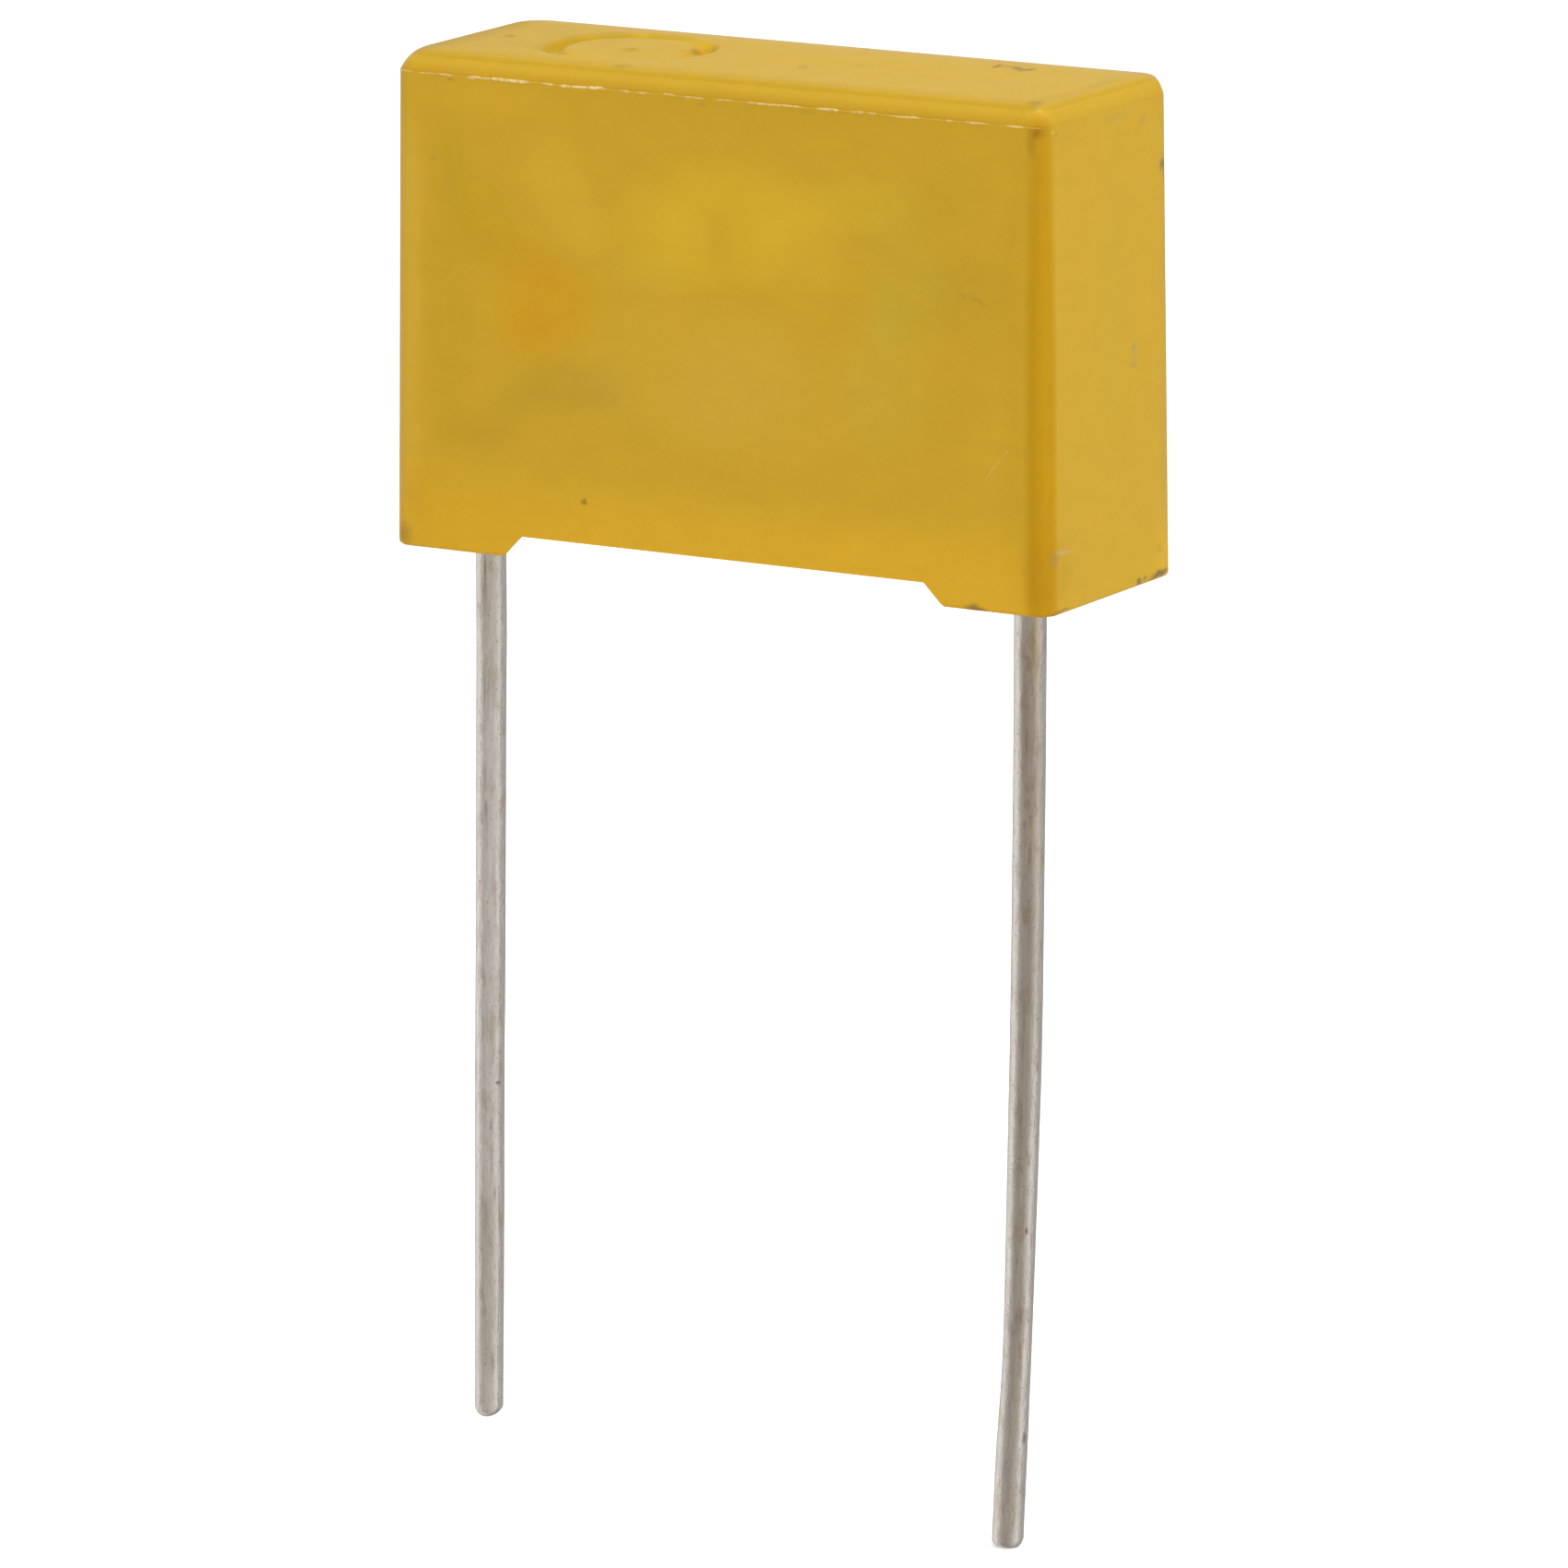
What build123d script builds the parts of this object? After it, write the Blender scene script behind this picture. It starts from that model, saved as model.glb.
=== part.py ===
from build123d import *
from build123d import SkipClean
import math
import os

os.makedirs("parts", exist_ok=True)

# A radial box film capacitor: a moulded case potted with resin, round a flat-pressed film winding with
# sprayed ends and two wire leads. The origin is midway between the leads on the seating plane, +Z points
# up through the case, and the front face looks towards -Y.

# ---- driving dimensions, in millimetres and degrees ----

lead_pitch = 15.0  # between the lead axes
lead_diameter = 0.76
lead_row_offset = 1.13  # the leads stand this far in front of the case's middle plane

# Each lead's route: sideways travel and drop below the seating plane at each slight bend, then at the tip.
left_route = [(0.0, 6.5), (-0.31, 22.15)]
right_route = [(0.0, 6.5), (-0.12, 11.5), (-0.36, 18.4), (-0.61, 23.36)]
bend_radius = 100.0
left_tip_radius = 0.16  # worn round
right_tip_radius = 0.09  # cut square

end_margin = 1.6  # from a lead's axis to the case's end, at the open underside
case_thickness = 6.2  # along Y, at the open underside
case_height = 12.1
end_draft = 0.66  # lean of the two end walls
face_draft = 0.36  # lean of the front and back walls
corner_radius = 0.47  # upright edges
foot_edge_radius = 0.12  # round the open underside
side_wall = 0.65
roof_wall = 0.8
cavity_corner_radius = 0.25

crown_height = 0.48  # rounded band round the top
crown_inset = 0.31
crown_corner_radius = 0.64
parting_ledge = 0.05  # the crown starts this far inside the walls, at the mould's parting line
crown_steps = 10

foot_height = 0.55
foot_length = 3.53  # along X, at the rim between the feet
notch_flank_angle = 45.0
notch_shift = 0.14  # the notch sits this far right of the middle

mark_x = -4.15  # round moulding mark in the top, from the middle of the case
mark_y = 0.0
mark_radius = 2.15
mark_groove_width = 0.62
mark_depth = 0.1
gate_x = -4.0  # small dimple inside the mark
gate_y = -0.22
gate_radius = 0.17
gate_depth = 0.08

resin_recess = 0.22  # from the rim between the feet up to the resin
meniscus_reach = 0.35  # resin drawn down along each lead
meniscus_drop = 0.4
meniscus_edge = 0.04  # thickness where it runs out
meniscus_sag = 0.1  # how hollow its slope is

resin_cover = 1.83  # below the winding
winding_roof_gap = 0.5
winding_side_gap = 0.25  # to the front and back walls, at the open underside
spray_thickness = 0.4
weld_depth = 0.12  # the leads sink this far into the sprays
weld_length = 6.0  # of lead on the spray

# ---- places worked out from them ----

case_y = lead_row_offset
case_width = lead_pitch + 2 * end_margin  # along X, at the open underside
notch_width = case_width - 2 * foot_length
crown_base = case_height - crown_height
cavity_top = case_height - roof_wall
resin_level = foot_height + resin_recess
lead_radius = lead_diameter / 2
lead_x = lead_pitch / 2
winding_bottom = resin_level + resin_cover
winding_height = cavity_top - winding_roof_gap - winding_bottom
winding_thickness = case_thickness - 2 * (side_wall + winding_side_gap)
lead_top = winding_bottom + weld_length
spray_face = lead_x - lead_radius + weld_depth
winding_end = spray_face - spray_thickness


def drafted_outline(height, inset, radius):
    """The case's rounded outline at a height, with its walls leaning in by their draft, less an inset."""
    end_lean = height * math.tan(math.radians(end_draft))
    face_lean = height * math.tan(math.radians(face_draft))
    with BuildSketch(Plane((0, case_y, height))) as outline:
        RectangleRounded(
            case_width - 2 * (end_lean + inset),
            case_thickness - 2 * (face_lean + inset),
            radius,
        )
    return outline.sketch


def crown_outline(turn):
    """The crown's outline at an angle up its quarter-round profile."""
    rise = crown_height * math.sin(math.radians(turn))
    share = 1 - math.cos(math.radians(turn))
    inset = parting_ledge + (crown_inset - parting_ledge) * share
    radius = corner_radius + (crown_corner_radius - corner_radius) * share
    return drafted_outline(crown_base + rise, inset, radius)


# ---- leads ----

lead_parts = {}
lead_plans = [
    ("left", -lead_x, left_route, left_tip_radius),
    ("right", lead_x, right_route, right_tip_radius),
]

for side, x, route, tip_radius in lead_plans:
    with BuildPart() as free_length:
        with BuildLine():
            bends = [(x + sideways, 0, -drop) for sideways, drop in route]
            FilletPolyline((x, 0, 0), *bends, radius=bend_radius)
        with BuildSketch():
            with Locations((x, 0)):
                Circle(lead_radius)
        sweep()
        tip = free_length.faces().sort_by(Axis.Z)[0]
        fillet(tip.edges(), tip_radius)
    with BuildPart() as lead, SkipClean():  # keeps the edge at the seating plane
        with BuildSketch():
            with Locations((x, 0)):
                Circle(lead_radius)
        extrude(amount=lead_top)
        add(free_length.part)
    lead.part.label = f"lead_{side}"
    export_step(lead.part, f"parts/lead_{side}.step")
    lead_parts[side] = lead.part

# ---- film winding and its sprayed ends ----

with BuildPart() as film_winding:
    with BuildSketch(Plane.YZ.offset(-winding_end)):
        with Locations((case_y, winding_bottom + winding_height / 2)):
            SlotOverall(winding_height, winding_thickness, rotation=90)
    extrude(amount=2 * winding_end)

film_winding.part.label = "film_winding"
export_step(film_winding.part, "parts/film_winding.step")

spray_parts = {}

for side, start in (("left", -spray_face), ("right", winding_end)):
    with BuildPart() as end_spray:
        with BuildSketch(Plane.YZ.offset(start)):
            with Locations((case_y, winding_bottom + winding_height / 2)):
                SlotOverall(winding_height, winding_thickness, rotation=90)
        extrude(amount=spray_thickness)
        add(lead_parts[side], mode=Mode.SUBTRACT)
    end_spray.part.label = f"end_spray_{side}"
    export_step(end_spray.part, f"parts/end_spray_{side}.step")
    spray_parts[side] = end_spray.part

# ---- case ----

with BuildPart() as case:
    add(drafted_outline(0, 0, corner_radius))
    add(drafted_outline(crown_base, 0, corner_radius))
    loft(ruled=True)
    fillet(case.edges().group_by(Axis.Z)[0], foot_edge_radius)
    for step in range(crown_steps + 1):
        add(crown_outline(90 * step / crown_steps))
    loft(ruled=True)
    with BuildSketch(Plane.XZ.offset(-case_y)):
        rim = notch_width / 2
        mouth = rim + foot_height / math.tan(math.radians(notch_flank_angle))
        with Locations((notch_shift, 0)):
            Polygon((-mouth, 0), (mouth, 0), (rim, foot_height), (-rim, foot_height), align=None)
    extrude(amount=case_thickness, both=True, mode=Mode.SUBTRACT)
    add(drafted_outline(0, side_wall, cavity_corner_radius))
    add(drafted_outline(cavity_top, side_wall, cavity_corner_radius))
    loft(ruled=True, mode=Mode.SUBTRACT)
    with BuildSketch(Plane((mark_x, case_y + mark_y, case_height))):
        Circle(mark_radius)
        Circle(mark_radius - mark_groove_width, mode=Mode.SUBTRACT)
    extrude(amount=-mark_depth, mode=Mode.SUBTRACT)
    with BuildSketch(Plane((gate_x, case_y + gate_y, case_height))):
        Circle(gate_radius)
    extrude(amount=-gate_depth, taper=20, mode=Mode.SUBTRACT)

case.part.label = "case"
export_step(case.part, "parts/case.step")

# ---- potting resin ----

with BuildPart() as epoxy_fill:
    add(drafted_outline(resin_level, side_wall, cavity_corner_radius))
    add(drafted_outline(cavity_top, side_wall, cavity_corner_radius))
    loft(ruled=True)
    for x in (-lead_x, lead_x):
        with BuildSketch(Plane.XZ):
            with BuildLine():
                low_edge = (x + lead_radius + meniscus_edge, resin_level - meniscus_drop)
                top_edge = (x + lead_radius + meniscus_edge + meniscus_reach, resin_level)
                Polyline(low_edge, (x, resin_level - meniscus_drop), (x, resin_level), top_edge)
                SagittaArc(top_edge, low_edge, meniscus_sag)
            make_face()
        revolve(axis=Axis((x, 0, 0), (0, 0, 1)))
    for piece in [film_winding.part, *spray_parts.values(), *lead_parts.values()]:
        add(piece, mode=Mode.SUBTRACT)

epoxy_fill.part.label = "epoxy_fill"
export_step(epoxy_fill.part, "parts/epoxy_fill.step")
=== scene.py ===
import bmesh
import bpy
import math
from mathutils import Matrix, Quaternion, Vector, geometry, noise


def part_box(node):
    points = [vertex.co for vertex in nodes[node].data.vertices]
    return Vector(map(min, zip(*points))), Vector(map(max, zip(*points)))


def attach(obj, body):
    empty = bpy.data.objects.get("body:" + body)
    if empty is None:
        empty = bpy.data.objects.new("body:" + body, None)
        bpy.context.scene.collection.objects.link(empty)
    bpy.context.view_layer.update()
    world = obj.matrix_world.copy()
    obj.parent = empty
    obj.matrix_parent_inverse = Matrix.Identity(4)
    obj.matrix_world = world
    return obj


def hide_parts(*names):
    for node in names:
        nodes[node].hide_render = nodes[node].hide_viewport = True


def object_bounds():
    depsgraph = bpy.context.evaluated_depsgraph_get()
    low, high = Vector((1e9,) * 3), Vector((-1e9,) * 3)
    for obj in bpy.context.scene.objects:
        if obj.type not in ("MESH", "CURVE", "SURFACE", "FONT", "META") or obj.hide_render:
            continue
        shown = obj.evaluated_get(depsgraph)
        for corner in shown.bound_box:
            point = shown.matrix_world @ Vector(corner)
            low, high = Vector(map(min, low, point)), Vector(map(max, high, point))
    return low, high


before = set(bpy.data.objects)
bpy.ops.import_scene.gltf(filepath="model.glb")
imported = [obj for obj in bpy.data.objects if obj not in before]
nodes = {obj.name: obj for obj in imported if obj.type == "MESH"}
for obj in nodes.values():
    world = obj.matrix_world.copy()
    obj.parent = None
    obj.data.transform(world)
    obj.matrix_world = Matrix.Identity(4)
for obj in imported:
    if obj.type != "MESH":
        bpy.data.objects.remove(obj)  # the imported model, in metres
cadLow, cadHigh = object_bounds()
mm = 0.001
caseLow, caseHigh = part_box("case")
caseMiddle = (caseLow + caseHigh) / 2
halfWidth = (caseHigh.x - caseLow.x) / 2 / mm
halfDepth = (caseHigh.y - caseLow.y) / 2 / mm
caseTop = caseHigh.z / mm
scene = bpy.context.scene
scene.view_settings.view_transform = "Standard"
print("frame loaded:", len(nodes), "nodes")


# node helpers

def fillInputs(tree, node, inputs):
    for socket, value in inputs.items():
        if isinstance(value, bpy.types.NodeSocket):
            tree.links.new(value, node.inputs[socket])
        else:
            node.inputs[socket].default_value = value


def addNode(tree, kind, inputs=None, **settings):
    made = tree.nodes.new(kind)
    for name, value in settings.items():
        setattr(made, name, value)
    fillInputs(tree, made, inputs or {})
    return made


def addMath(tree, operation, *values, clamp=False):
    inputs = dict(enumerate(values))
    return addNode(tree, "ShaderNodeMath", inputs, operation=operation, use_clamp=clamp).outputs[0]


def addVector(tree, operation, *values):
    made = addNode(tree, "ShaderNodeVectorMath", dict(enumerate(values)), operation=operation)
    return made.outputs["Value"] if operation in ("LENGTH", "DOT_PRODUCT") else made.outputs["Vector"]


def addScaled(tree, vector, factor):
    inputs = {0: vector, "Scale": factor}
    return addNode(tree, "ShaderNodeVectorMath", inputs, operation="SCALE").outputs["Vector"]


def addRange(tree, value, start, stop, low=0.0, high=1.0):
    inputs = {"Value": value, "From Min": start, "From Max": stop, "To Min": low, "To Max": high}
    return addNode(tree, "ShaderNodeMapRange", inputs, interpolation_type="SMOOTHSTEP").outputs["Result"]


def addTint(tree, factor, colour, tint, mode="MULTIPLY"):
    inputs = {0: factor, 6: colour, 7: tint}
    return addNode(tree, "ShaderNodeMix", inputs, data_type="RGBA", blend_type=mode).outputs[2]


def addGrey(tree, value):
    return addNode(tree, "ShaderNodeCombineColor", {0: value, 1: value, 2: value}).outputs[0]


def addNoise(tree, position, scale, detail=2.0, roughness=0.5):
    inputs = {"Vector": position, "Scale": scale, "Detail": detail, "Roughness": roughness}
    return addNode(tree, "ShaderNodeTexNoise", inputs)


def addBump(tree, height, strength, distance):
    inputs = {"Height": height, "Strength": strength, "Distance": distance * mm}
    return addNode(tree, "ShaderNodeBump", inputs).outputs["Normal"]


def newTree(owner):
    owner.use_nodes = True
    owner.node_tree.nodes.clear()
    return owner.node_tree


def newMaterial(name):
    material = bpy.data.materials.new(name)
    tree = newTree(material)
    surface = addNode(tree, "ShaderNodeBsdfPrincipled")
    addNode(tree, "ShaderNodeOutputMaterial", {"Surface": surface.outputs[0]})
    return material, tree, surface


# camera, lamps and world

cameraPlan = {
    "turn": 30.45,  # degrees from the front towards the right end
    "rise": 12.6,
    "roll": -0.21,
    "distance": 282.6,
    "lens": 268.8,
    "aimOffset": (0.06, 0.0, 0.10),  # mm from the middle of the whole part
}

lampPlans = {
    # name: turn, rise, distance, size, power, colour
    "keyLamp": (68, 42, 0.42, 0.24, 0.86, (1.0, 1.02, 0.98)),
    "fillLamp": (-28, 34, 0.45, 0.22, 0.20, (1.0, 0.99, 0.97)),
    "topLamp": (40, 80, 0.40, 0.26, 0.44, (1.0, 1.0, 1.0)),
    "backLamp": (190, 55, 0.45, 0.30, 0.22, (1.0, 1.0, 1.0)),
}

worldPlan = {
    "ambient": 0.66,
    # reflected brightness by turn round the part, in degrees
    "reflected": [(-180, 0.48), (-135, 0.50), (-116, 0.72), (-98, 0.98), (-62, 1.0), (-42, 0.60), (-20, 0.53),
                  (8, 0.62), (44, 0.68), (68, 0.68), (88, 1.0), (104, 1.0), (120, 0.58), (145, 0.50), (180, 0.48)],
    "below": (-0.85, -0.50, 0.86),  # reflected light fades between these heights of view, down to this share
}

floorPlan = {
    "colour": (0.82, 0.82, 0.82, 1),
    "lift": 0.34,
    "halfSize": 1.6,
}


def direction(turn, rise):
    turn, rise = math.radians(turn), math.radians(rise)
    return Vector((math.sin(turn) * math.cos(rise), -math.cos(turn) * math.cos(rise), math.sin(rise)))


def addCamera(plan):
    data = bpy.data.cameras.new("studioCamera")
    data.lens = plan["lens"]
    data.clip_start = 0.01
    data.clip_end = 5.0
    camera = bpy.data.objects.new("studioCamera", data)
    scene.collection.objects.link(camera)
    back = direction(plan["turn"], plan["rise"])
    aim = (cadLow + cadHigh) / 2 + Vector(plan["aimOffset"]) * mm
    camera.location = aim + back * plan["distance"] * mm
    camera.rotation_mode = "QUATERNION"
    roll = Quaternion((0, 0, 1), math.radians(plan["roll"]))
    camera.rotation_quaternion = (-back).to_track_quat("-Z", "Y") @ roll
    scene.camera = camera


def addLamp(name, turn, rise, distance, size, power, colour):
    data = bpy.data.lights.new(name, "AREA")
    data.shape = "SQUARE"
    data.size = size
    data.energy = power
    data.color = colour
    lamp = bpy.data.objects.new(name, data)
    scene.collection.objects.link(lamp)
    towards = direction(turn, rise)
    lamp.location = caseMiddle + towards * distance
    lamp.rotation_mode = "QUATERNION"
    lamp.rotation_quaternion = (-towards).to_track_quat("-Z", "Y")


def addWorld(plan):
    world = bpy.data.worlds.new("studioWorld")
    scene.world = world
    tree = newTree(world)
    path = addNode(tree, "ShaderNodeLightPath")
    place = addNode(tree, "ShaderNodeTexCoord")
    parts = addNode(tree, "ShaderNodeSeparateXYZ", {"Vector": place.outputs["Generated"]}).outputs
    turn = addMath(tree, "ARCTAN2", parts["X"], addMath(tree, "MULTIPLY", parts["Y"], -1.0))
    ramp = addNode(tree, "ShaderNodeValToRGB", {"Fac": addMath(tree, "MULTIPLY_ADD", turn, 0.5 / math.pi, 0.5)})
    ramp.color_ramp.interpolation = "EASE"
    stops = ramp.color_ramp.elements
    while len(stops) < len(plan["reflected"]):
        stops.new(0.5)
    for stop, (degrees, level) in zip(stops, plan["reflected"]):
        stop.position = degrees / 360 + 0.5
        stop.color = (level, level, level, 1)
    low, high, share = plan["below"]
    fading = addTint(tree, 1.0, ramp.outputs["Color"], addGrey(tree, addRange(tree, parts["Z"], low, high, share, 1.0)))
    ambient = plan["ambient"]
    soft = addTint(tree, path.outputs["Is Glossy Ray"], (ambient, ambient, ambient, 1), fading, "MIX")
    seen = addMath(tree, "MAXIMUM", path.outputs["Is Camera Ray"], path.outputs["Is Transmission Ray"])
    colour = addTint(tree, seen, soft, (1, 1, 1, 1), "MIX")
    background = addNode(tree, "ShaderNodeBackground", {"Color": colour, "Strength": 1.0})
    addNode(tree, "ShaderNodeOutputWorld", {"Surface": background.outputs[0]})


def addFloor(plan):
    bm = bmesh.new()
    bmesh.ops.create_grid(bm, x_segments=1, y_segments=1, size=plan["halfSize"])
    bmesh.ops.translate(bm, verts=bm.verts, vec=(0, 0, cadLow.z))
    mesh = bpy.data.meshes.new("studioFloor")
    bm.to_mesh(mesh)
    bm.free()
    floor = bpy.data.objects.new("studioFloor", mesh)
    scene.collection.objects.link(floor)
    material = bpy.data.materials.new("paleFloor")
    tree = newTree(material)
    path = addNode(tree, "ShaderNodeLightPath").outputs
    side = addNode(tree, "ShaderNodeNewGeometry").outputs
    paint = addNode(tree, "ShaderNodeBsdfDiffuse", {"Color": plan["colour"]})
    seen = addMath(tree, "MAXIMUM", path["Is Camera Ray"], path["Is Transmission Ray"])
    lift = addMath(tree, "MULTIPLY", seen, plan["lift"])
    glow = addNode(tree, "ShaderNodeEmission", {"Color": (1, 1, 1, 1), "Strength": lift})
    lit = addNode(tree, "ShaderNodeAddShader", {0: paint.outputs[0], 1: glow.outputs[0]})
    clear = addNode(tree, "ShaderNodeBsdfTransparent")
    shown = addNode(tree, "ShaderNodeMixShader", {0: side["Backfacing"], 1: lit.outputs[0], 2: clear.outputs[0]})
    addNode(tree, "ShaderNodeOutputMaterial", {"Surface": shown.outputs[0]})
    mesh.materials.append(material)
    floor.visible_glossy = False


addCamera(cameraPlan)
for lampName, lampPlan in lampPlans.items():
    addLamp(lampName, *lampPlan)
addWorld(worldPlan)
addFloor(floorPlan)
print("camera, lamps, world and floor ready")


# shared shader groups

def newGroup(name, inputs, outputs):
    group = bpy.data.node_groups.new(name, "ShaderNodeTree")
    kinds = {"value": "NodeSocketFloat", "vector": "NodeSocketVector", "colour": "NodeSocketColor"}
    for socket, kind in inputs:
        group.interface.new_socket(name=socket, in_out="INPUT", socket_type=kinds[kind])
    for socket, kind in outputs:
        group.interface.new_socket(name=socket, in_out="OUTPUT", socket_type=kinds[kind])
    given = group.nodes.new("NodeGroupInput")
    result = group.nodes.new("NodeGroupOutput")
    return group, given.outputs, result.inputs


def makePatchGroup(name, mode):
    inputs = [("Colour", "colour"), ("Position", "vector"), ("Share", "vector"), ("Shift", "vector"),
              ("Tint", "colour"), ("Amount", "value"), ("Core", "value")]
    group, given, result = newGroup(name, inputs, [("Colour", "colour")])
    away = addVector(group, "MULTIPLY_ADD", given["Position"], given["Share"], given["Shift"])
    reach = addVector(group, "LENGTH", away)
    mask = addRange(group, reach, 1.0, given["Core"], 0.0, given["Amount"])
    group.links.new(addTint(group, mask, given["Colour"], given["Tint"], mode), result["Colour"])
    return group


softPatch = makePatchGroup("softPatch", "MULTIPLY")
softStainAndGlint = makePatchGroup("softStainAndGlint", "MIX")


def addPatch(tree, group, colour, position, centre, size, tint, amount, core):
    inputs = {"Colour": colour, "Position": position, "Share": [1 / v for v in size],
              "Shift": [-c / v for c, v in zip(centre, size)], "Tint": (*tint, 1), "Amount": amount, "Core": core}
    return addNode(tree, "ShaderNodeGroup", inputs, node_tree=group).outputs["Colour"]


def faceFrame(face, across, up, wide, high, deep):
    if face in ("front", "back"):
        return (across, -halfDepth if face == "front" else halfDepth, up), (wide, deep, high), "Y_AXIS", 1
    if face in ("right", "left"):
        return (halfWidth if face == "right" else -halfWidth, across, up), (deep, wide, high), "X_AXIS", -1
    return (across, up, caseTop), (wide, high, deep), "Z_AXIS", -1


def addPatches(tree, group, colour, position, patches, deep):
    for face, (across, up), (wide, high), turn, tint, amount, core in patches:
        centre, size, axis, sense = faceFrame(face, across, up, wide, high, deep)
        place = position
        if turn:
            inputs = {"Vector": position, "Center": centre, "Angle": sense * math.radians(turn)}
            place = addNode(tree, "ShaderNodeVectorRotate", inputs, rotation_type=axis).outputs["Vector"]
        colour = addPatch(tree, group, colour, place, centre, size, tint, amount, core)
    return colour


# case plastic

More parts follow.
